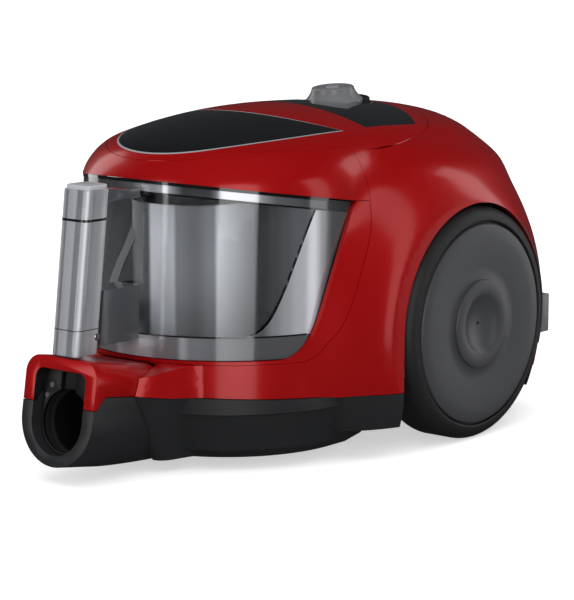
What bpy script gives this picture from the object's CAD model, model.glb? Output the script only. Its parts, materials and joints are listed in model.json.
"""Looks for the canister vacuum cleaner: finishes, fine details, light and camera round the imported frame."""
import json
import logging
import math
from dataclasses import dataclass, field
from enum import Enum
from typing import Callable, Sequence

import bmesh
import bpy
import numpy as np
from mathutils import Matrix, Vector


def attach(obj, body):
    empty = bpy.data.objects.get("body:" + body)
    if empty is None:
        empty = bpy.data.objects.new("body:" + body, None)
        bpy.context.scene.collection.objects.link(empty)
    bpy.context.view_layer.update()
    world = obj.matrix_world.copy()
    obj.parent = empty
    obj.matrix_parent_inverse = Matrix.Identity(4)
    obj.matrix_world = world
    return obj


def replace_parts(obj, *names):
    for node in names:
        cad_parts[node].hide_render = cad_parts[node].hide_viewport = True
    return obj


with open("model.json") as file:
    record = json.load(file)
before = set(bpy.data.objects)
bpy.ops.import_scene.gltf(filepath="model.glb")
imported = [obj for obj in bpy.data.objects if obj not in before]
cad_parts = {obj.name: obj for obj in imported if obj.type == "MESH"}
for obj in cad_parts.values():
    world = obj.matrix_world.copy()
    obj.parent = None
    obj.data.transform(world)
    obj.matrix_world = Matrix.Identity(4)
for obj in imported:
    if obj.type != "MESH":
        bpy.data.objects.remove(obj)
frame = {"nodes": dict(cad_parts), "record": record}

LOG = logging.getLogger("vacuum")
MM = 0.001

# Interfaces shared with the solids, in millimetres and degrees
INLET_TILT = 9.4
INLET_CENTRE = (0.0, -213.0, 42.4)
INLET_HALF_WIDTH = 23.5
INLET_ROOF = 33.6
KNOB_CENTRE = (0.0, 73.0, 227.5)
KNOB_TILT = 5.7
WHEEL_Y = 70.0
WHEEL_RADIUS = 82.0
WHEEL_FACE_X = 135.0
CORE_Y = -77.0
CORE_RADIUS = 43.0
BIN_RADIUS = 103.0
SHELL_WALL = 2.8

# Distance at which points count as one, in metres
MERGE = 2e-6
# Spacing of the cuts through a shell, in millimetres, and how nearly a face must follow the rounded form
SLICE_PITCH = 6.0
FOLLOW_COSINE = 0.86


class Relief(Enum):
    """How the surface of a finish is broken up."""

    ORANGE_PEEL = "orange_peel"
    SPARK = "spark"
    FOAM = "foam"
    PLEAT = "pleat"
    BRUSHED = "brushed"


def put(tree: bpy.types.NodeTree, kind: str, operation: str = "", **values: object) -> bpy.types.Node:
    """New shader node with some of its inputs set.

    Args:
        tree: Node tree that gets it.
        kind: Its type, without the leading ShaderNode.
        operation: Its operation, if it has one.
        values: Value of each input, with an underscore for a space in its name.

    Returns:
        The new node.
    """
    node = tree.nodes.new(f"ShaderNode{kind}")
    if operation:
        node.operation = operation
    for name, value in values.items():
        node.inputs[name.replace("_", " ")].default_value = value
    return node


@dataclass(frozen=True)
class Banding:
    """Soft bands of brightness along one direction of the object."""

    name: str
    direction: tuple[float, float, float]
    stops: tuple[tuple[float, float], ...]

    def group(self) -> bpy.types.ShaderNodeTree:
        """Node group that puts out the brightness at a point.

        Returns:
            The node group, made once and then shared.
        """
        found = bpy.data.node_groups.get(f"bands_{self.name}")
        if found:
            return found
        group = bpy.data.node_groups.new(f"bands_{self.name}", "ShaderNodeTree")
        for label, way in (("Vector", "INPUT"), ("Color", "INPUT"), ("Color", "OUTPUT")):
            group.interface.new_socket(label, in_out=way, socket_type=f"NodeSocket{label}")
        given, out = group.nodes.new("NodeGroupInput"), group.nodes.new("NodeGroupOutput")
        along = put(group, "VectorMath", "DOT_PRODUCT")
        along.inputs[1].default_value = self.direction
        low, high = self.stops[0][0] * MM, self.stops[-1][0] * MM
        spread = put(group, "MapRange", From_Min=low, From_Max=high)
        shades = put(group, "ValToRGB")
        shades.color_ramp.interpolation = "EASE"
        points = shades.color_ramp.elements
        while len(points) < len(self.stops):
            points.new(0.5)
        for point, (place, value) in zip(points, self.stops):
            point.position = (place * MM - low) / (high - low)
            point.color = (value, value, value, 1.0)
        tint = put(group, "VectorMath", "MULTIPLY")
        group.links.new(given.outputs["Vector"], along.inputs[0])
        group.links.new(along.outputs["Value"], spread.inputs["Value"])
        group.links.new(spread.outputs["Result"], shades.inputs["Fac"])
        group.links.new(given.outputs["Color"], tint.inputs[0])
        group.links.new(shades.outputs["Color"], tint.inputs[1])
        group.links.new(tint.outputs[0], out.inputs["Color"])
        return group


@dataclass(frozen=True)
class Finish:
    """One procedural surface finish."""

    name: str
    slot: str
    color: tuple[float, float, float]
    roughness: float
    metallic: float = 0.0
    coat: float = 0.0
    coat_roughness: float = 0.03
    transmission: float = 0.0
    ior: float = 1.5
    relief: Relief = Relief.SPARK
    grain: float = 900.0
    depth: float = 0.02
    mottle: float = 0.06
    bands: Banding | None = None

    def build(self) -> bpy.types.Material:
        """Material with this finish, made once and then shared.

        Returns:
            The material.
        """
        label = f"{self.name}_finish"
        found = bpy.data.materials.get(label)
        if found:
            return found
        material = bpy.data.materials.new(label)
        material.use_nodes = True
        tree = material.node_tree
        shader = tree.nodes["Principled BSDF"]
        for name, value in (("Metallic", self.metallic), ("IOR", self.ior), ("Coat Weight", self.coat),
                            ("Coat Roughness", self.coat_roughness), ("Transmission Weight", self.transmission)):
            shader.inputs[name].default_value = value
        place = put(tree, "TexCoord")
        relief = put(tree, "Group")
        relief.node_tree = relief_group(self.relief)
        for name, value in (("Color", (*self.color, 1.0)), ("Roughness", self.roughness), ("Scale", self.grain),
                            ("Depth", self.depth), ("Mottle", self.mottle)):
            relief.inputs[name].default_value = value
        tree.links.new(place.outputs["Object"], relief.inputs["Vector"])
        tint = relief
        if self.bands:
            tint = put(tree, "Group")
            tint.node_tree = self.bands.group()
            tree.links.new(place.outputs["Object"], tint.inputs["Vector"])
            tree.links.new(relief.outputs["Color"], tint.inputs["Color"])
        tree.links.new(tint.outputs["Color"], shader.inputs["Base Color"])
        tree.links.new(relief.outputs["Roughness"], shader.inputs["Roughness"])
        tree.links.new(relief.outputs["Normal"], shader.inputs["Normal"])
        return material


def relief_group(kind: Relief) -> bpy.types.ShaderNodeTree:
    """Node group that breaks up a colour, a roughness and a normal.

    Args:
        kind: The kind of relief.

    Returns:
        The node group, made once and then shared.
    """
    name = f"relief_{kind.value}"
    found = bpy.data.node_groups.get(name)
    if found:
        return found
    group = bpy.data.node_groups.new(name, "ShaderNodeTree")
    for label, kind_of, low in (("Vector", "Vector", None), ("Color", "Color", None), ("Roughness", "Float", 0.3),
                                ("Scale", "Float", 900.0), ("Depth", "Float", 0.02), ("Mottle", "Float", 0.05)):
        socket = group.interface.new_socket(label, in_out="INPUT", socket_type=f"NodeSocket{kind_of}")
        if low is not None:
            socket.default_value = low
    for label, kind_of in (("Color", "Color"), ("Roughness", "Float"), ("Normal", "Vector")):
        group.interface.new_socket(label, in_out="OUTPUT", socket_type=f"NodeSocket{kind_of}")
    given, out = group.nodes.new("NodeGroupInput"), group.nodes.new("NodeGroupOutput")
    link = group.links.new
    broad = put(group, "TexNoise", Scale=35.0, Detail=4.0)
    link(given.outputs["Vector"], broad.inputs["Vector"])
    spread = put(group, "MapRange", To_Min=-1.0, To_Max=1.0)
    link(broad.outputs["Fac"], spread.inputs["Value"])
    amount = put(group, "Math", "MULTIPLY")
    link(spread.outputs["Result"], amount.inputs[0])
    link(given.outputs["Mottle"], amount.inputs[1])
    gain = put(group, "Math", "ADD")
    gain.inputs[1].default_value = 1.0
    link(amount.outputs[0], gain.inputs[0])
    tint = put(group, "VectorMath", "SCALE")
    link(given.outputs["Color"], tint.inputs[0])
    link(gain.outputs[0], tint.inputs["Scale"])
    rough = put(group, "Math", "MULTIPLY")
    rough.use_clamp = True
    link(given.outputs["Roughness"], rough.inputs[0])
    link(gain.outputs[0], rough.inputs[1])
    height = relief_height(group, given, kind)
    bump = put(group, "Bump", Distance=0.0004)
    link(given.outputs["Depth"], bump.inputs["Strength"])
    link(height, bump.inputs["Height"])
    link(tint.outputs[0], out.inputs["Color"])
    link(rough.outputs[0], out.inputs["Roughness"])
    link(bump.outputs["Normal"], out.inputs["Normal"])
    return group


def relief_height(group: bpy.types.ShaderNodeTree, given: bpy.types.Node, kind: Relief) -> bpy.types.NodeSocket:
    """Height field of one kind of relief.

    Args:
        group: Node group that is being built.
        given: Its input node.
        kind: The kind of relief.

    Returns:
        The socket that carries the height.
    """
    link = group.links.new
    if kind in (Relief.PLEAT, Relief.BRUSHED):
        texture = put(group, "TexWave" if kind is Relief.PLEAT else "TexNoise")
        stretch = put(group, "VectorMath", "MULTIPLY")
        stretch.inputs[1].default_value = (1.0, 0.02, 1.0) if kind is Relief.BRUSHED else (1.0, 1.0, 1.0)
        link(given.outputs["Vector"], stretch.inputs[0])
        link(stretch.outputs[0], texture.inputs["Vector"])
    elif kind is Relief.FOAM:
        texture = put(group, "TexVoronoi")
        link(given.outputs["Vector"], texture.inputs["Vector"])
    else:
        texture = put(group, "TexNoise", Detail=2.0 if kind is Relief.ORANGE_PEEL else 6.0)
        link(given.outputs["Vector"], texture.inputs["Vector"])
    link(given.outputs["Scale"], texture.inputs["Scale"])
    return texture.outputs["Distance"] if kind is Relief.FOAM else texture.outputs["Fac"]


ACROSS = (0.770, 0.638, 0.0)
HANDLE_BANDS = Banding("handle", (0.770, 0.638, -0.08), (
    (-150, 0.75), (-144.5, 0.8), (-143, 0.38), (-141.5, 0.85), (-137, 0.95), (-135.5, 0.45), (-132.5, 0.5),
    (-129.5, 1.5), (-126.5, 0.55), (-122, 0.7), (-118, 0.95)))
CORE_BANDS = Banding("core", ACROSS, (
    (-94, 0.12), (-80, 0.2), (-77, 1.7), (-63, 1.5), (-60, 0.5), (-48, 0.3), (-36, 0.6), (-33, 1.75), (-10, 1.4),
    (-6, 0.10), (4, 0.05)))
LID_BANDS = Banding("lid", ACROSS, (
    (-118, 0.45), (-100, 0.55), (-90, 1.2), (-84, 2.4), (-64, 2.2), (-54, 0.4), (-38, 0.45), (-28, 2.4), (-4, 2.2),
    (8, 0.9), (34, 0.5), (60, 0.25)))
FRAME_BANDS = Banding("frame", ACROSS, (
    (-60, 0.5), (-30, 0.4), (-14, 0.35), (-4, 0.4), (4, 1.0), (12, 1.5), (20, 2.1), (30, 2.3), (37, 0.9),
    (43, 0.4), (60, 0.35), (76, 0.3)))
BASE_BANDS = Banding("base", ACROSS, (
    (-130, 0.6), (-102, 1.2), (-98, 2.6), (-80, 2.2), (-72, 0.9), (-60, 0.8), (-56, 1.8), (-50, 1.0), (-30, 0.7),
    (-10, 0.45), (30, 0.5), (60, 0.3)))

# Shared relief of the glossy mouldings
PEEL = {"relief": Relief.ORANGE_PEEL, "grain": 60.0, "depth": 0.004}
RED = Finish("red_lacquer", "red_gloss", (0.400, 0.0008, 0.0016), 0.34, metallic=0.35, coat=0.6,
             coat_roughness=0.15, ior=1.3, mottle=0.02, **PEEL)
CHARCOAL = Finish("charcoal_satin", "charcoal", (0.017, 0.0175, 0.0190), 0.42, grain=2200.0, depth=0.10,
                  mottle=0.08)
BLACK = Finish("black_lacquer", "black_gloss", (0.006, 0.006, 0.007), 0.08, coat=1.0, coat_roughness=0.01,
               relief=Relief.ORANGE_PEEL, grain=60.0, depth=0.003, mottle=0.02)
SILVER = Finish("silver_trim", "silver_trim", (0.42, 0.43, 0.45), 0.22, metallic=0.3, relief=Relief.BRUSHED,
                grain=400.0, depth=0.02)
SMOKY = Finish("smoky_chrome", "smoky_chrome", (0.24, 0.245, 0.26), 0.16, metallic=0.25, coat=0.5, mottle=0.03,
               bands=FRAME_BANDS, **PEEL)
SMOKY_LID = Finish("smoky_lid", "smoky_chrome", (0.24, 0.245, 0.26), 0.12, metallic=0.6, coat=0.5, mottle=0.03,
                   bands=LID_BANDS, **PEEL)
SMOKY_BASE = Finish("smoky_base", "smoky_chrome", (0.20, 0.205, 0.22), 0.12, metallic=0.25, coat=0.5,
                    mottle=0.03, bands=BASE_BANDS, **PEEL)
CORE = Finish("satin_core", "smoke", (0.55, 0.555, 0.57), 0.34, metallic=0.15, relief=Relief.BRUSHED,
              grain=500.0, depth=0.02, bands=CORE_BANDS)
DARK = Finish("dark_plastic", "wheel_grey", (0.006, 0.006, 0.0065), 0.45, grain=2200.0, depth=0.08, mottle=0.08)
GRIP_FOOT = Finish("smoked_foot", "smoke", (0.085, 0.088, 0.096), 0.14, coat=0.8, coat_roughness=0.04, ior=1.45,
                   transmission=0.25, **PEEL)
GRIP = Finish("smoked_grip", "clear", (0.50, 0.51, 0.54), 0.10, coat=1.0, coat_roughness=0.04,
              transmission=0.30, ior=1.45, bands=HANDLE_BANDS, **PEEL)
CLEAR = Finish("clear_plastic", "clear", (0.90, 0.92, 0.94), 0.015, transmission=1.0, ior=1.49,
               relief=Relief.ORANGE_PEEL, grain=50.0, depth=0.006, mottle=0.01)
SMOKE = Finish("smoked_plastic", "smoke", (0.035, 0.036, 0.040), 0.12, coat=0.8, relief=Relief.ORANGE_PEEL,
               grain=70.0, depth=0.006)
WHEEL = Finish("wheel_plastic", "wheel_grey", (0.047, 0.048, 0.053), 0.36, grain=1800.0, depth=0.14,
               mottle=0.06)
TYRE = Finish("tyre_rubber", "tyre_rubber", (0.013, 0.013, 0.0145), 0.50, grain=1500.0, depth=0.22, mottle=0.12)
STEEL = Finish("bright_steel", "steel", (0.52, 0.52, 0.54), 0.28, metallic=1.0, relief=Relief.BRUSHED,
               grain=900.0, depth=0.06)
KNOB = Finish("knob_plastic", "knob_grey", (0.165, 0.167, 0.175), 0.34, coat=0.25, grain=2200.0, depth=0.05)
LIGHT = Finish("light_plastic", "light_grey", (0.45, 0.46, 0.485), 0.30, coat=0.3, grain=2200.0, depth=0.04)
BUMPER = Finish("bumper_plastic", "bumper_grey", (0.128, 0.131, 0.142), 0.38, grain=1800.0, depth=0.10)
FOAM = Finish("filter_foam", "filter_foam", (0.09, 0.10, 0.12), 0.95, relief=Relief.FOAM, grain=500.0,
              depth=1.0)
PAPER = Finish("filter_paper", "filter_paper", (0.78, 0.77, 0.72), 0.9, relief=Relief.PLEAT, grain=80.0,
               depth=1.0)
COPPER = Finish("copper_winding", "copper", (0.62, 0.29, 0.14), 0.3, metallic=1.0, relief=Relief.BRUSHED,
                grain=700.0, depth=0.3)
SEAL = Finish("seal_rubber", "seal_rubber", (0.022, 0.022, 0.023), 0.6, grain=1500.0, depth=0.2)
INNER = Finish("inner_plastic", "inner_plastic", (0.09, 0.09, 0.10), 0.5, grain=1600.0, depth=0.12)
BOARD = Finish("circuit_board", "board_green", (0.02, 0.12, 0.05), 0.4, grain=900.0, depth=0.2)

NODE_FINISH: dict[str, Finish] = {
    "main_housing": RED, "hood": RED, "top_cover": RED, "front_lens": BLACK, "lens_trim": SILVER,
    "control_panel": BLACK, "bin_surround": RED, "bay_wall": INNER, "base_tray": CHARCOAL,
    "wheel_arch_left": CHARCOAL, "wheel_arch_right": CHARCOAL, "axle_left": STEEL, "axle_right": STEEL,
    "caster_fork": CHARCOAL, "caster_axle": STEEL, "caster_wheel": WHEEL, "inlet_collar": CHARCOAL,
    "inlet_plate": DARK, "inlet_screws": STEEL, "inlet_seal": SEAL, "inlet_duct": DARK, "bin_window": CLEAR,
    "bin_frame": SMOKY, "bin_base": SMOKY_BASE, "bin_lid": SMOKY_LID, "cyclone_cone": INNER,
    "handle_foot": GRIP_FOOT, "release_spring": STEEL, "button_spring": STEEL, "knob_seat": CHARCOAL,
    "rear_bumper": BUMPER, "exhaust_cover": CHARCOAL, "exhaust_filter": PAPER, "motor_case": INNER,
    "motor_stator": STEEL, "motor_rotor": COPPER, "motor_mounts": SEAL, "motor_filter": FOAM, "reel_drum": INNER,
    "reel_frame": INNER, "brake_lever": INNER, "cord_gland": SEAL, "circuit_board": BOARD,
}
EASED_NODES = ("inlet_collar", "rear_bumper", "inlet_plate", "exhaust_cover", "caster_fork", "cord_gland")
ROUNDED_NODES = ("main_housing", "hood", "top_cover", "bin_surround", "front_lens", "lens_trim", "control_panel")


def body_of(node: str) -> str:
    """Name of the CAD body that a node belongs to."""
    for body, members in frame["record"]["behaviour"]["bodies"].items():
        if node in members:
            return body
    raise KeyError(node)


def publish(mesh: bmesh.types.BMesh, name: str, body: str, finish: Finish, angle: float = 32.0,
            closed: bool = True) -> bpy.types.Object:
    """Turns a bmesh into a finished piece that rides on a body.

    Args:
        mesh: The shape, in metres in the shared frame; it is freed.
        name: Name of the piece.
        body: Body that carries it.
        finish: Its surface finish.
        angle: Edges sharper than this many degrees stay sharp.
        closed: Whether it encloses a volume, so that its normals can be turned outward.

    Returns:
        The new object.
    """
    bmesh.ops.remove_doubles(mesh, verts=mesh.verts, dist=MERGE)
    if closed:
        bmesh.ops.recalc_face_normals(mesh, faces=mesh.faces)
    for face in mesh.faces:
        face.smooth = True
    limit = math.radians(angle)
    for edge in mesh.edges:
        edge.smooth = len(edge.link_faces) == 2 and edge.calc_face_angle(0.0) < limit
    data = bpy.data.meshes.new(name)
    mesh.to_mesh(data)
    mesh.free()
    piece = bpy.data.objects.new(name, data)
    bpy.context.scene.collection.objects.link(piece)
    data.materials.append(finish.build())
    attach(piece, body)
    LOG.info("made %s", name)
    return piece


def dress(node: str, finish: Finish, angle: float = 32.0,
          shape: Callable[[bmesh.types.BMesh], None] | None = None) -> bpy.types.Object:
    """Merged, smooth-shaded copy of a CAD node with its finish, which stands for the node.

    Args:
        node: Name of the CAD node.
        finish: Its surface finish.
        angle: Edges sharper than this many degrees stay sharp.
        shape: Optional change to the copy before it is published.

    Returns:
        The new object.
    """
    mesh = bmesh.new()
    mesh.from_mesh(frame["nodes"][node].data)
    bmesh.ops.remove_doubles(mesh, verts=mesh.verts, dist=MERGE)
    bmesh.ops.dissolve_degenerate(mesh, edges=mesh.edges, dist=1e-6)
    if shape:
        shape(mesh)
    piece = publish(mesh, f"{node}_skin", body_of(node), finish, angle)
    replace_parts(piece, node)
    return piece


def ramp(value: np.ndarray, width: float) -> np.ndarray:
    """Ramp that starts at zero, rounded over width on both sides of its corner."""
    if width <= 0:
        return np.maximum(value, 0.0)
    return np.where(value > width, value, np.where(value < -width, 0.0, (value + width) ** 2 / (4 * width)))


def soft_max(first: np.ndarray, second: np.ndarray, width: float) -> np.ndarray:
    """Larger of two fields, rounded over width where they meet."""
    if width <= 0:
        return np.maximum(first, second)
    blend = np.maximum(width - np.abs(first - second), 0.0) / width
    return np.maximum(first, second) + blend * blend * width / 4


@dataclass(frozen=True)
class Curve:
    """Natural cubic spline through points with rising first coordinates."""

    knots: tuple[tuple[float, float], ...]

    def at(self, where: np.ndarray) -> np.ndarray:
        """Height of the curve at the given places."""
        x = np.array([knot[0] for knot in self.knots])
        y = np.array([knot[1] for knot in self.knots])
        step = np.diff(x)
        count = len(x)
        system = np.eye(count)
        right = np.zeros(count)
        for i in range(1, count - 1):
            system[i, i - 1:i + 2] = step[i - 1], 2 * (step[i - 1] + step[i]), step[i]
            right[i] = 6 * ((y[i + 1] - y[i]) / step[i] - (y[i] - y[i - 1]) / step[i - 1])
        bend = np.linalg.solve(system, right)
        place = np.clip(where, x[0], x[-1])
        i = np.clip(np.searchsorted(x, place) - 1, 0, count - 2)
        a, b, h = x[i + 1] - place, place - x[i], step[i]
        return (bend[i] * a ** 3 + bend[i + 1] * b ** 3) / (6 * h) \
            + (y[i] / h - bend[i] * h / 6) * a + (y[i + 1] / h - bend[i + 1] * h / 6) * b


@dataclass(frozen=True)
class BodyForm:
    """Outer form of the coloured shells as a field in millimetres: zero on the surface, positive outside."""

    stations: tuple[tuple[float, ...], ...] = (
        (0, 108.5, -43.0, 187.0, 34), (188, 105.5, -37.0, 178.0, 62), (208, 95.5, -37.0, 163.0, 72),
        (242, 78.0, -37.0, 128.0, 64))
    deck: Curve = Curve(((-165, 186), (-130, 208), (-89, 222), (-40, 230.5), (0, 233), (60, 231.5), (120, 227),
                         (165, 217), (205, 203)))
    flare: Curve = Curve(((0.0, 38.0), (0.375, 35.5), (0.756, 35.7), (1.06, 37.8), (1.316, 39.8), (1.5708, 41.0)))
    crown_radius: float = 232.02
    rear_radius: float = 219.99
    rear_y: float = -31.83
    rear_z: float = 113.3
    fender_x: float = 93.0
    fender_y: float = 59.0
    fender_z: float = 82.0
    fender_radius: float = 86.0
    fender_rise: float = 41.0
    fender_depth: float = 38.0
    eases: tuple[float, float, float] = (7.0, 18.0, 12.0)
    probe: float = 0.05
    least_slope: float = 0.2
    longest_shift: float = 6.0

    def station(self, index: int, height: np.ndarray, width: float) -> np.ndarray:
        """One value of the stations at the given heights, its corners rounded over width."""
        z = [station[0] for station in self.stations]
        v = [station[index] for station in self.stations]
        slope = [(v[i + 1] - v[i]) / (z[i + 1] - z[i]) for i in range(3)]
        return v[0] + slope[0] * height + (slope[1] - slope[0]) * ramp(height - z[1], width) \
            + (slope[2] - slope[1]) * ramp(height - z[2], width)

    def prism(self, p: np.ndarray, width: float) -> np.ndarray:
        """Field of the upright central body."""
        x, y, z = np.abs(p[:, 0]), p[:, 1], p[:, 2]
        half, nose, rear, corner = (self.station(i, z, width) for i in (1, 2, 3, 4))
        front = np.hypot(x, y - nose) - half
        side = x - (half - corner)
        back = y - (rear - corner)
        box = np.hypot(np.maximum(side, 0), np.maximum(back, 0)) + np.minimum(np.maximum(side, back), 0) - corner
        return np.where(y < nose, front, box)

    def top(self, p: np.ndarray) -> np.ndarray:
        """Field of the crowned deck."""
        x = np.clip(p[:, 0], -150, 150)
        return p[:, 2] - (self.deck.at(p[:, 1]) - self.crown_radius + np.sqrt(self.crown_radius ** 2 - x ** 2))

    def rear(self, p: np.ndarray) -> np.ndarray:
        """Field of the rounded upper rear."""
        rise = np.clip(p[:, 2] - self.rear_z, 0, self.rear_radius - 1)
        return p[:, 1] - (self.rear_y + np.sqrt(self.rear_radius ** 2 - rise ** 2))

    def fender(self, p: np.ndarray) -> np.ndarray:
        """Field of the round flare over a wheel."""
        x = np.abs(p[:, 0]) - self.fender_x
        rho = np.hypot(p[:, 1] - self.fender_y, p[:, 2] - self.fender_z) - self.fender_radius
        angle = np.arctan2(np.maximum(rho, 0), np.maximum(x, 1e-9))
        corner = np.hypot(np.maximum(x, 0), np.maximum(rho, 0)) - self.flare.at(angle)
        return np.where(x < 0, rho - self.fender_rise, np.where(rho < 0, x - self.fender_depth, corner))

    def field(self, p: np.ndarray, soft: bool) -> np.ndarray:
        """Field of the whole form.

        Args:
            p: Points in millimetres, one to a row.
            soft: Whether the creases are rounded.

        Returns:
            The field at each point.
        """
        ease = self.eases if soft else (0.0, 0.0, 0.0)
        sides = -soft_max(-self.prism(p, ease[0]), -self.fender(p), ease[1])
        return soft_max(soft_max(self.top(p), self.rear(p), ease[2]), sides, ease[2])

    def gradient(self, p: np.ndarray) -> np.ndarray:
        """Slope of the rounded field at each point."""
        slopes = []
        for axis in range(3):
            step = np.zeros(3)
            step[axis] = self.probe
            slopes.append((self.field(p + step, True) - self.field(p - step, True)) / (2 * self.probe))
        return np.stack(slopes, axis=1)

    def settle(self, p: np.ndarray) -> np.ndarray:
        """Points moved so that the rounded field has the value there that the sharp one had.

        Args:
            p: Points in millimetres.

        Returns:
            The moved points.
        """
        target = self.field(p, False)
        moved = p.copy()
        for _ in range(4):
            slope = self.gradient(moved)
            size = np.maximum((slope ** 2).sum(axis=1), self.least_slope)
            moved -= slope * ((self.field(moved, True) - target) / size)[:, None]
        shift = moved - p
        length = np.linalg.norm(shift, axis=1, keepdims=True)
        return p + shift * np.minimum(1.0, self.longest_shift / np.maximum(length, 1e-9))


def slice_grid(mesh: bmesh.types.BMesh, pitch: float) -> None:
    """Cuts a mesh by three families of parallel planes, so that it can follow a rounded form.

    Args:
        mesh: The mesh, in metres.
        pitch: Distance between planes, in millimetres.
    """
    for axis in range(3):
        values = [vert.co[axis] for vert in mesh.verts]
        low, high = min(values), max(values)
        normal = [0.0, 0.0, 0.0]
        normal[axis] = 1.0
        place = (math.floor(low / (pitch * MM)) + 0.5) * pitch * MM
        while place < high:
            if place > low + 1e-6:
                point = [0.0, 0.0, 0.0]
                point[axis] = place
                bmesh.ops.bisect_plane(mesh, geom=mesh.verts[:] + mesh.edges[:] + mesh.faces[:], dist=1e-7,
                                       plane_co=point, plane_no=normal)
            place += pitch * MM


def soften(mesh: bmesh.types.BMesh) -> None:
    """Rounds the creases of a shell by moving it onto the rounded form.

    Args:
        mesh: The shell, in metres.
    """
    slice_grid(mesh, SLICE_PITCH)
    points = np.array([vert.co[:] for vert in mesh.verts]) / MM
    for vert, place in zip(mesh.verts, FORM.settle(points)):
        vert.co = place * MM


def true_normals(piece: bpy.types.Object) -> None:
    """Sets the normals of a shell from the rounded form wherever a face follows it.

    Args:
        piece: The finished shell.
    """
    data = piece.data
    points = np.array([vert.co[:] for vert in data.vertices]) / MM
    level = FORM.field(points, True)
    follows = (np.abs(level) < 0.5) | (np.abs(level + SHELL_WALL) < 0.5)
    slope = FORM.gradient(points) * follows[:, None]
    slope /= np.maximum(np.linalg.norm(slope, axis=1, keepdims=True), 1e-9)
    normals = np.array([corner.vector[:] for corner in data.corner_normals])
    for face in data.polygons:
        flat = np.array(face.normal[:])
        for loop in face.loop_indices:
            lead = slope[data.loops[loop].vertex_index]
            turn = float(flat @ lead)
            if abs(turn) > FOLLOW_COSINE:
                normals[loop] = lead if turn > 0 else -lead
    data.normals_split_custom_set(normals.tolist())


FORM = BodyForm()


@dataclass(frozen=True)
class Strip:
    """Tall soft lamp that stands round the object, in degrees, metres and watts."""

    name: str
    azimuth: float
    width: float
    power: float
    height: float = 2.4
    distance: float = 2.5
    rise: float = 0.75
    aim: tuple[float, float, float] = (0.0, 0.0, 0.45)

    def build(self) -> None:
        """Adds the lamp."""
        data = bpy.data.lights.new(self.name, "AREA")
        data.shape = "RECTANGLE"
        data.size = self.width
        data.size_y = self.height
        data.energy = self.power
        lamp = bpy.data.objects.new(self.name, data)
        bpy.context.scene.collection.objects.link(lamp)
        angle = math.radians(self.azimuth)
        place = (self.distance * math.sin(angle), -self.distance * math.cos(angle), self.rise)
        lamp.location = place
        lamp.visible_camera = False
        lamp.rotation_euler = (Vector(self.aim) - Vector(place)).to_track_quat("-Z", "Y").to_euler()


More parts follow.
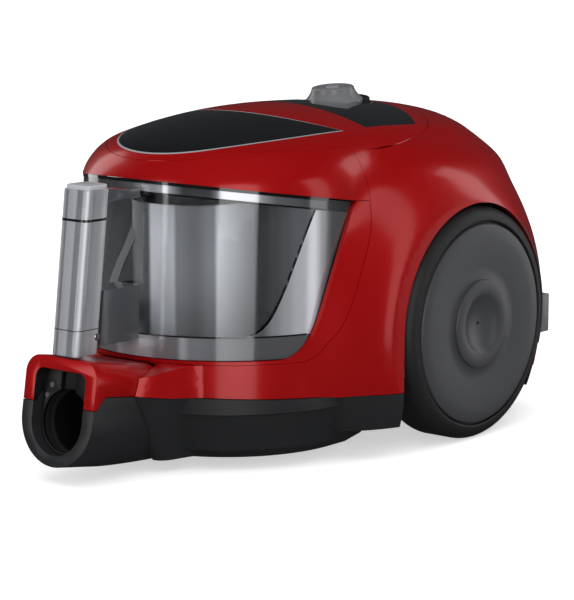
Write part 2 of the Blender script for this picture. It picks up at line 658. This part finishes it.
@dataclass
class Studio:
    """Pale floor, soft lamps and the camera."""

    azimuth: float = 39.64
    elevation: float = 9.9
    distance: float = 1659.0
    target: tuple[float, float, float] = (0.0, 20.02, 90.37)
    lens: float = 138.8
    strips: tuple[Strip, ...] = (
        Strip("strip_front", 44.0, 1.30, 20.0), Strip("strip_left", -19.0, 0.95, 15.0),
        Strip("strip_right", 106.0, 0.7, 7.0), Strip("strip_rear", 153.0, 0.7, 9.0),
        Strip("strip_rear_left", 268.0, 0.9, 10.0))
    floor_shade: float = 0.80
    floor_lift: float = 0.55

    def build(self) -> None:
        """Adds the floor, the world, the lamps and the camera."""
        self._floor()
        self._world()
        self._sky()
        for strip in self.strips:
            strip.build()
        self._camera()

    def _floor(self) -> None:
        """Wide pale floor that keeps the shadow."""
        mesh = bmesh.new()
        bmesh.ops.create_grid(mesh, x_segments=1, y_segments=1, size=6.0)
        data = bpy.data.meshes.new("floor")
        mesh.to_mesh(data)
        mesh.free()
        floor = bpy.data.objects.new("floor", data)
        bpy.context.scene.collection.objects.link(floor)
        material = bpy.data.materials.new("floor_pale")
        material.use_nodes = True
        tree = material.node_tree
        tree.nodes.clear()
        out, path, both, mix = (put(tree, kind) for kind in ("OutputMaterial", "LightPath", "AddShader",
                                                             "MixShader"))
        matt = put(tree, "BsdfDiffuse", Color=(self.floor_shade, self.floor_shade, self.floor_shade, 1.0))
        lift = put(tree, "Emission", Strength=self.floor_lift)
        tree.links.new(matt.outputs[0], both.inputs[0])
        tree.links.new(lift.outputs[0], both.inputs[1])
        tree.links.new(path.outputs["Is Camera Ray"], mix.inputs[0])
        tree.links.new(matt.outputs[0], mix.inputs[1])
        tree.links.new(both.outputs[0], mix.inputs[2])
        tree.links.new(mix.outputs[0], out.inputs["Surface"])
        data.materials.append(material)
        floor.visible_glossy = False

    def _world(self) -> None:
        """Surroundings that are white to the camera, dim in reflections and moderate as light."""
        world = bpy.data.worlds.new("studio")
        bpy.context.scene.world = world
        world.use_nodes = True
        tree = world.node_tree
        tree.nodes.clear()
        out, path, mix, gloss = (put(tree, kind) for kind in ("OutputWorld", "LightPath", "MixShader",
                                                              "MixShader"))
        light = put(tree, "Background", Color=(0.95, 0.97, 1.0, 1.0), Strength=0.30)
        dim = put(tree, "Background", Color=(0.9, 0.95, 1.0, 1.0), Strength=0.035)
        shown = put(tree, "Background", Color=(1.0, 1.0, 1.0, 1.0), Strength=1.0)
        seen = put(tree, "Math", "MAXIMUM")
        tree.links.new(path.outputs["Is Camera Ray"], seen.inputs[0])
        tree.links.new(path.outputs["Is Transmission Ray"], seen.inputs[1])
        tree.links.new(seen.outputs[0], mix.inputs[0])
        tree.links.new(path.outputs["Is Glossy Ray"], gloss.inputs[0])
        tree.links.new(light.outputs[0], gloss.inputs[1])
        tree.links.new(dim.outputs[0], gloss.inputs[2])
        tree.links.new(gloss.outputs[0], mix.inputs[1])
        tree.links.new(shown.outputs[0], mix.inputs[2])
        tree.links.new(mix.outputs[0], out.inputs["Surface"])

    def _sky(self) -> None:
        """Very soft light from above that leaves no mirror image."""
        data = bpy.data.lights.new("sky", "SUN")
        data.energy = 1.7
        data.angle = math.radians(70.0)
        lamp = bpy.data.objects.new("sky", data)
        bpy.context.scene.collection.objects.link(lamp)
        lamp.rotation_euler = (math.radians(12.0), math.radians(8.0), 0.0)
        lamp.visible_glossy = False

    def _camera(self) -> None:
        """Camera at the object's front right, a little above it."""
        azimuth = math.radians(self.azimuth)
        elevation = math.radians(self.elevation)
        back = Vector((math.sin(azimuth) * math.cos(elevation), -math.cos(azimuth) * math.cos(elevation),
                       math.sin(elevation)))
        data = bpy.data.cameras.new("camera")
        data.sensor_fit = "AUTO"
        data.sensor_width = 36.0
        data.lens = self.lens
        data.clip_end = 50.0
        camera = bpy.data.objects.new("camera", data)
        bpy.context.scene.collection.objects.link(camera)
        camera.location = Vector(self.target) * MM + back * self.distance * MM
        camera.rotation_euler = (-back).to_track_quat("-Z", "Y").to_euler()
        bpy.context.scene.camera = camera


def lathe(profile: Sequence[tuple[float, float]], origin: Sequence[float], axis: Sequence[float],
          segments: int = 160, turn: float = 360.0, start: Sequence[float] | None = None) -> bmesh.types.BMesh:
    """Solid of revolution.

    Args:
        profile: Points as distance along the axis and radius, in millimetres.
        origin: Point on the axis, in millimetres.
        axis: Direction of the axis.
        segments: Steps of the turn.
        turn: Angle of the turn, in degrees.
        start: Direction of the profile, square to the axis.

    Returns:
        The new mesh.
    """
    mesh = bmesh.new()
    along = Vector(axis).normalized()
    across = Vector(start).normalized() if start else along.orthogonal().normalized()
    verts = [mesh.verts.new((Vector(origin) + along * a + across * r) * MM) for a, r in profile]
    edges = [mesh.edges.new(pair) for pair in zip(verts, verts[1:])]
    bmesh.ops.spin(mesh, geom=verts + edges, cent=Vector(origin) * MM, axis=along, angle=math.radians(turn),
                   steps=segments, use_merge=turn >= 360.0, use_duplicate=False)
    bmesh.ops.remove_doubles(mesh, verts=mesh.verts, dist=MERGE)
    return mesh


def block(size: Sequence[float], place: Matrix, edge: float = 0.4, segments: int = 3) -> bmesh.types.BMesh:
    """Box with rounded edges.

    Args:
        size: Its three sides, in millimetres.
        place: Where it stands, in millimetres.
        edge: Radius of its edges, in millimetres.
        segments: Steps of each rounded edge.

    Returns:
        The new mesh.
    """
    mesh = bmesh.new()
    bmesh.ops.create_cube(mesh, size=1.0)
    bmesh.ops.scale(mesh, vec=size, verts=mesh.verts)
    bmesh.ops.bevel(mesh, geom=mesh.edges[:], offset=edge, segments=segments, profile=0.5, affect="EDGES",
                    material=-1)
    bmesh.ops.transform(mesh, matrix=Matrix.Scale(MM, 4) @ place, verts=mesh.verts)
    return mesh


def frame_at(origin: Sequence[float], normal: Sequence[float], up: Sequence[float]) -> Matrix:
    """Placement with Z along normal and Y as near to up as it can be.

    Args:
        origin: Its origin, in millimetres.
        normal: Its Z direction.
        up: Rough Y direction.

    Returns:
        The placement.
    """
    z = Vector(normal).normalized()
    x = Vector(up).cross(z).normalized()
    y = z.cross(x)
    rows = Matrix((x, y, z)).transposed().to_4x4()
    return Matrix.Translation(Vector(origin)) @ rows


def cap_ends(mesh: bmesh.types.BMesh) -> None:
    """Closes the open ends of a part-turned solid."""
    bmesh.ops.holes_fill(mesh, edges=[edge for edge in mesh.edges if edge.is_boundary], sides=0)


@dataclass
class RearWheel:
    """Dished disc and rubber tyre on one side."""

    side: str
    sign: int

    def build(self) -> None:
        """Adds the disc, the tyre and the hub pin."""
        self._disc()
        self._tyre()

    def _turned(self, profile: Sequence[tuple[float, float]], name: str, finish: Finish, node: str) -> None:
        """Turned piece on the axle that stands for a CAD node."""
        mesh = lathe(profile, (0.0, WHEEL_Y, WHEEL_RADIUS), (self.sign, 0.0, 0.0), 256)
        piece = publish(mesh, f"{name}_{self.side}_skin", f"wheel_{self.side}", finish, 28.0)
        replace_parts(piece, node)

    def _disc(self) -> None:
        """Disc with its raised hub ring, dish and pin."""
        face = WHEEL_FACE_X
        self._turned([
            (104, 65), (104, 70), (face - 1.6, 70), (face - 0.7, 69.8), (face - 0.1, 69.2), (face + 0.15, 68.2),
            (face + 0.1, 60), (face - 0.3, 50), (face - 0.8, 40), (face - 1.3, 31.7), (face - 1.1, 31.2),
            (face + 0.4, 30.95), (face + 0.85, 30.6), (face + 1.0, 30.0), (face + 1.0, 21.0), (face + 0.8, 20.3),
            (face + 0.2, 19.6), (face - 0.9, 17.0), (face - 2.0, 13.0), (face - 2.9, 8.0), (face - 3.3, 3.0),
            (face - 3.3, 1.6), (face - 3.6, 1.3), (face - 7.5, 1.3), (face - 7.5, 0), (face - 10, 0), (face - 10, 14),
            (101, 14), (101, 18), (face - 6, 18), (face - 6, 65), (104, 65),
        ], "wheel_disc", WHEEL, f"wheel_disc_{self.side}")

    def _tyre(self) -> None:
        """Tyre with a rounded shoulder and a fine lip against the disc."""
        face = WHEEL_FACE_X
        arc = [(face - 9.5 + 9.0 * math.sin(math.radians(a)), 73.0 + 9.0 * math.cos(math.radians(a)))
               for a in range(0, 86, 6)]
        self._turned([
            (101, 70), (101, 78.4), (101.5, 80.3), (102.8, 81.6), (104.6, 82), *arc, (face - 0.4, 72.6),
            (face - 0.7, 71.9), (face - 1.4, 71.5), (face - 3, 71.4), (face - 3, 70.05), (101, 70),
        ], "tyre", TYRE, f"tyre_{self.side}")


@dataclass
class ControlKnob:
    """Flared knob with its push button and the power mark."""

    axis: Vector = field(default_factory=lambda: Vector((0.0, -math.sin(math.radians(KNOB_TILT)),
                                                         math.cos(math.radians(KNOB_TILT)))))
    neck: float = 15.4
    flare: float = 5.9
    rewind_start: float = 40.5
    rewind_turn: float = 99.0
    mark_lean: float = 35.0
    mark_turn: float = 290.0
    mark_height: float = 12.5

    def build(self) -> None:
        """Adds the knob, the power button, its mark and the rewind button."""
        steps = 12
        skirt = [(3.0 + 9.0 * t / steps, self.neck + self.flare * (1 - t / steps) ** 1.6) for t in range(steps)]
        profile = [(0.4, 6.0), (0.2, 21.0), (2.2, 21.3), *skirt, (12.0, 15.35), (12.5, 14.95), (12.8, 14.2),
                   (12.8, 10.9), (12.5, 10.45), (7.8, 10.3), (7.8, 6.0), (0.4, 6.0)]
        knob = publish(lathe(profile, KNOB_CENTRE, self.axis, 192), "knob_skin", "knob", KNOB, 30.0)
        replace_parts(knob, "knob")
        button = lathe([(-6, 0), (-6, 5), (9.8, 5), (9.8, 10), (12.1, 10), (12.45, 9.8), (12.6, 9.3), (12.45, 5),
                        (12.4, 0)], KNOB_CENTRE, self.axis, 128)
        piece = publish(button, "power_button_skin", "power", KNOB, 30.0)
        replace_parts(piece, "power_button")
        self._mark()
        self._rewind()

    def _rewind(self) -> None:
        """Rewind button: a low arc behind the knob."""
        angle = math.radians(self.rewind_start)
        start = Vector((math.cos(angle), math.sin(angle), 0.0))
        place = frame_at(KNOB_CENTRE, self.axis, (0, 1, 0))
        arc = lathe([(-3.8, 21.7), (2.8, 21.7), (3.3, 22.1), (3.4, 22.8), (3.4, 25.4), (3.3, 26.0), (2.8, 26.3),
                     (-3.8, 26.3), (-3.8, 21.7)], KNOB_CENTRE, self.axis, 60, self.rewind_turn,
                    place.to_3x3() @ start)
        cap_ends(arc)
        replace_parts(publish(arc, "rewind_button_skin", "rewind", DARK, 34.0), "rewind_button")

    def _mark(self) -> None:
        """Power mark: an open ring and a bar."""
        place = frame_at(Vector(KNOB_CENTRE) + self.axis * self.mark_height, self.axis, (0, 1, 0))
        lean = math.radians(self.mark_lean)
        side = place.to_3x3() @ Vector((math.sin(lean), math.cos(lean), 0))
        ring = lathe([(12.4, 3.9), (12.62, 3.95), (12.62, 4.65), (12.4, 4.7)], KNOB_CENTRE, self.axis, 56,
                     -self.mark_turn, side)
        publish(ring, "power_mark_ring", "power", LIGHT, 40.0)
        bar = block((0.75, 4.4, 0.3), place @ Matrix.Translation((0, 3.4, 0.02)), 0.08, 2)
        publish(bar, "power_mark_bar", "power", LIGHT, 40.0)


def column(size: Sequence[float], foot: Sequence[float], corner: float, rim: float, lean: float = 0.0,
           well: tuple[float, float] | None = None) -> bmesh.types.BMesh:
    """Upright rounded bar that may lean, with an optional well in its top.

    Args:
        size: Width, depth and height, in millimetres.
        foot: Middle of its foot, in millimetres.
        corner: Radius of its upright edges, in millimetres.
        rim: Radius of its other edges, in millimetres.
        lean: Shift towards +Y per unit of height.
        well: Wall and depth of the well, in millimetres.

    Returns:
        The new mesh.
    """
    mesh = bmesh.new()
    bmesh.ops.create_cube(mesh, size=1.0)
    bmesh.ops.scale(mesh, vec=size, verts=mesh.verts)
    bmesh.ops.translate(mesh, vec=(0, 0, size[2] / 2), verts=mesh.verts)
    upright = [edge for edge in mesh.edges if abs(edge.verts[0].co.z - edge.verts[1].co.z) > size[2] / 2]
    bmesh.ops.bevel(mesh, geom=upright, offset=corner, segments=7, profile=0.5, affect="EDGES", material=-1)
    flat = [edge for edge in mesh.edges if abs(edge.verts[0].co.z - edge.verts[1].co.z) < 1e-6]
    bmesh.ops.bevel(mesh, geom=flat, offset=rim, segments=3, profile=0.5, affect="EDGES", material=-1)
    if well:
        top = max(mesh.faces, key=lambda face: face.calc_center_median().z + face.calc_area() * 1e-3)
        bmesh.ops.inset_region(mesh, faces=[top], thickness=well[0] - rim, use_even_offset=True)
        made = bmesh.ops.extrude_face_region(mesh, geom=[top])
        lowered = [item for item in made["geom"] if isinstance(item, bmesh.types.BMVert)]
        bmesh.ops.delete(mesh, geom=[top], context="FACES_ONLY")
        bmesh.ops.translate(mesh, vec=(0, 0, -well[1]), verts=lowered)
    shear = Matrix.Identity(4)
    shear[1][2] = lean
    bmesh.ops.transform(mesh, matrix=Matrix.Scale(MM, 4) @ Matrix.Translation(Vector(foot)) @ shear,
                        verts=mesh.verts)
    return mesh


def split(mesh: bmesh.types.BMesh, chosen: Callable[[Vector], bool]) -> bmesh.types.BMesh:
    """Moves the faces whose middles pass a test into a mesh of their own.

    Args:
        mesh: The mesh that loses the faces.
        chosen: Test of a face's middle, in millimetres.

    Returns:
        The mesh with the chosen faces.
    """
    other = mesh.copy()
    for part, keep in ((mesh, False), (other, True)):
        gone = [face for face in part.faces if chosen(face.calc_center_median() / MM) != keep]
        bmesh.ops.delete(part, geom=gone, context="FACES")
    return other


@dataclass
class BinHandle:
    """Smoked grip of the dust bin with its cap, dark bands, bridge and screw."""

    foot: tuple[float, float, float] = (0.0, -195.4, 84.0)
    size: tuple[float, float, float] = (24.6, 21.6, 106.6)
    corner: float = 5.0
    lean: float = 0.125
    well: tuple[float, float] = (1.0, 11.5)
    cap_z: float = 184.2
    cap_size: tuple[float, float, float] = (22.2, 19.2, 9.2)
    bands: tuple[tuple[float, float], ...] = ((170.4, 1.6), (100.6, 0.5))
    band_size: tuple[float, float] = (24.9, 21.9)
    bridge_size: tuple[float, float, float] = (20.0, 33.0, 7.2)
    bridge_place: tuple[float, float, float] = (0.0, -157.8, 185.0)
    screw_place: tuple[float, float, float] = (0.0, -187.0, 95.4)
    sharp: float = 38.0

    def build(self) -> None:
        """Adds the grip and what is on it."""
        grip = column(self.size, self.foot, self.corner, 0.7, self.lean, self.well)
        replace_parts(publish(grip, "grip", "bin", GRIP, self.sharp), "bin_handle")
        cap = column(self.cap_size, self._middle(self.cap_z), 4.0, 0.8, self.lean)
        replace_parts(publish(cap, "release_cap", "release", LIGHT, self.sharp), "release_button")
        for height, tall in self.bands:
            band = column((*self.band_size, tall), self._middle(height), 5.1, 0.2, self.lean)
            publish(band, f"grip_band_{height:.0f}", "bin", BLACK, self.sharp)
        bridge = block(self.bridge_size, Matrix.Translation(self.bridge_place), 1.4, 3)
        publish(bridge, "grip_bridge", "bin", GRIP_FOOT, self.sharp)
        screw = lathe([(11.9, 0), (12.75, 0), (12.75, 0.5), (12.5, 0.6), (12.5, 1.0), (12.9, 1.2), (12.9, 2.0),
                       (12.5, 2.4), (11.9, 2.4)], self.screw_place, (1, 0, 0), 40)
        publish(screw, "grip_screw", "bin", STEEL, 40.0)

    def _middle(self, height: float) -> tuple[float, float, float]:
        """Middle of the leaning grip at one height, in millimetres."""
        return (0.0, self.foot[1] + self.lean * (height - self.foot[2]), height)


@dataclass
class BinTrim:
    """Dark lines round the dust bin, the curved rib behind its window and the cyclone."""

    nose_y: float = -37.4
    foot_y: float = -42.2
    fall: float = -0.157
    brow_z: float = 178.0 - 0.157 * 45.0
    foot_z: float = 91.6
    rib_x: float = -30.0
    rib_width: float = 7.0
    core_wall: float = 2.5

    def build(self) -> None:
        """Adds the lines, the rib and the cyclone."""
        upper, lower = (self.nose_y, 12.0, self.fall, self.brow_z), (self.foot_y, 20.0, 0.0, self.foot_z)
        self._line("bin_line", -8.6, -7.4, *upper)
        self._line("bin_gasket", -2.2, -0.15, *upper)
        self._line("bin_foot_line", -0.5, 0.5, *lower)
        publish(self._rib(self.rib_x), "bin_rib", "bin", SMOKE, 40.0)
        inner = CORE_RADIUS - self.core_wall
        core = lathe([(82.0, inner), (82.0, 42.6), (82.6, CORE_RADIUS), (174.0, CORE_RADIUS), (174.4, 42.6),
                      (174.4, inner), (82.0, inner)], (0.0, CORE_Y, 0.0), (0.0, 0.0, 1.0), 160)
        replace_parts(publish(core, "cyclone_body_skin", "bin", CORE, 34.0), "cyclone_body")

    def _line(self, name: str, low: float, high: float, middle: float, skew: float, fall: float,
              base: float) -> None:
        """Thin dark line round the front of the bin.

        Args:
            name: Name of the piece.
            low: Its lower edge above the base, in millimetres.
            high: Its upper edge above the base, in millimetres.
            middle: Middle of the round, as Y in millimetres.
            skew: How far short of a half turn it stops at each end, in degrees.
            fall: Its rise towards +Y.
            base: Height of the base at Y = 0, in millimetres.
        """
        angle = math.radians(skew)
        outer = BIN_RADIUS + 0.95
        ring = lathe([(low, BIN_RADIUS), (low, outer), (high, outer), (high, BIN_RADIUS), (low, BIN_RADIUS)],
                     (0.0, middle, 0.0), (0.0, 0.0, 1.0), 120, 2 * skew - 180.0,
                     (math.cos(angle), -math.sin(angle), 0.0))
        cap_ends(ring)
        slope = Matrix.Identity(4)
        slope[2][1] = fall
        slope[2][3] = base * MM
        bmesh.ops.transform(ring, matrix=slope, verts=ring.verts)
        publish(ring, name, "bin", BLACK, 40.0)

    def _rib(self, across: float) -> bmesh.types.BMesh:
        """Thin strip that curves down behind the window.

        Args:
            across: Its place, as X in millimetres.

        Returns:
            The new mesh.
        """
        steps = 16
        points = [(-104.0 - 26.0 * (0.5 - 0.5 * math.cos(math.pi * t / steps)) ** 1.2, 174.0 - 62.0 * t / steps)
                  for t in range(steps + 1)]
        mesh = bmesh.new()
        line = [mesh.verts.new((across * MM, y * MM, z * MM)) for y, z in points]
        edges = [mesh.edges.new(pair) for pair in zip(line, line[1:])]
        made = bmesh.ops.extrude_edge_only(mesh, edges=edges)
        moved = [item for item in made["geom"] if isinstance(item, bmesh.types.BMVert)]
        bmesh.ops.translate(mesh, vec=(self.rib_width * MM, 0.0, 0.0), verts=moved)
        bmesh.ops.solidify(mesh, geom=mesh.faces[:], thickness=0.9 * MM)
        return mesh


def round_edges(mesh: bmesh.types.BMesh) -> None:
    """Rounds the sharp rims of a copied solid by a fraction of a millimetre."""
    bmesh.ops.dissolve_limit(mesh, angle_limit=math.radians(0.6), verts=mesh.verts, edges=mesh.edges)
    sharp = [edge for edge in mesh.edges
             if len(edge.link_faces) == 2 and edge.calc_face_angle(0.0) > math.radians(50)]
    bmesh.ops.bevel(mesh, geom=sharp, offset=0.55 * MM, segments=2, profile=0.5, affect="EDGES", material=-1,
                    clamp_overlap=True)


@dataclass
class HoseMouth:
    """Coloured upper half of the mouth with its dark lining."""

    def build(self) -> None:
        """Adds the rim and the lining."""
        mesh = bmesh.new()
        mesh.from_mesh(frame["nodes"]["inlet_hood"].data)
        bmesh.ops.remove_doubles(mesh, verts=mesh.verts, dist=MERGE)
        bmesh.ops.recalc_face_normals(mesh, faces=mesh.faces)
        round_edges(mesh)
        lining = split(mesh, self._inside)
        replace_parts(publish(mesh, "inlet_hood_skin", "housing", RED, 32.0, False), "inlet_hood")
        publish(lining, "inlet_lining", "housing", DARK, 32.0, False)

    def _inside(self, point: Vector) -> bool:
        """Whether a point lies on the inner faces of the mouth."""
        tilt = math.radians(INLET_TILT)
        local = point - Vector(INLET_CENTRE)
        depth = local.y * math.cos(tilt) - local.z * math.sin(tilt)
        rise = local.y * math.sin(tilt) + local.z * math.cos(tilt)
        return depth > 0.2 and abs(local.x) < INLET_HALF_WIDTH and rise < INLET_ROOF


@dataclass
class ArchLip:
    """Dark ring that closes the hollow of the fender round a wheel."""

    side: str
    sign: int
    near: float = 90.0
    far: float = 129.0
    inner: float = 84.6
    outer: float = 85.8
    turn: float = 216.0
    dip: float = 18.0

    def build(self) -> None:
        """Adds the ring over the upper part of the wheel."""
        dip = math.radians(self.dip)
        ring = lathe([(self.near, self.inner), (self.far, self.inner), (self.far, self.outer),
                      (self.near, self.outer), (self.near, self.inner)], (0.0, WHEEL_Y, WHEEL_RADIUS),
                     (self.sign, 0.0, 0.0), 96, self.sign * self.turn, (0.0, math.cos(dip), -math.sin(dip)))
        cap_ends(ring)
        publish(ring, f"arch_lip_{self.side}", "housing", CHARCOAL, 40.0)


@dataclass
class Carcass:
    """Every solid of the machine in its finish."""

    finishes: dict[str, Finish] = field(default_factory=lambda: dict(NODE_FINISH))

    def build(self) -> list[bpy.types.Object]:
        """Dresses each CAD node.

        Returns:
            The new pieces.
        """
        pieces = []
        for node, finish in self.finishes.items():
            rounded = node in ROUNDED_NODES
            shape = soften if rounded else round_edges if node in EASED_NODES else None
            piece = dress(node, finish, shape=shape)
            if rounded:
                true_normals(piece)
            pieces.append(piece)
        return pieces


def main() -> None:
    """Builds the looks in order."""
    logging.basicConfig(level=logging.INFO)
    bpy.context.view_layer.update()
    scene = bpy.context.scene
    scene.view_settings.view_transform = "Standard"
    Carcass().build()
    for side, sign in (("left", -1), ("right", 1)):
        RearWheel(side, sign).build()
        ArchLip(side, sign).build()
    BinHandle().build()
    HoseMouth().build()
    BinTrim().build()
    ControlKnob().build()
    Studio().build()
    bpy.context.view_layer.update()


if __name__ == "__main__":
    main()
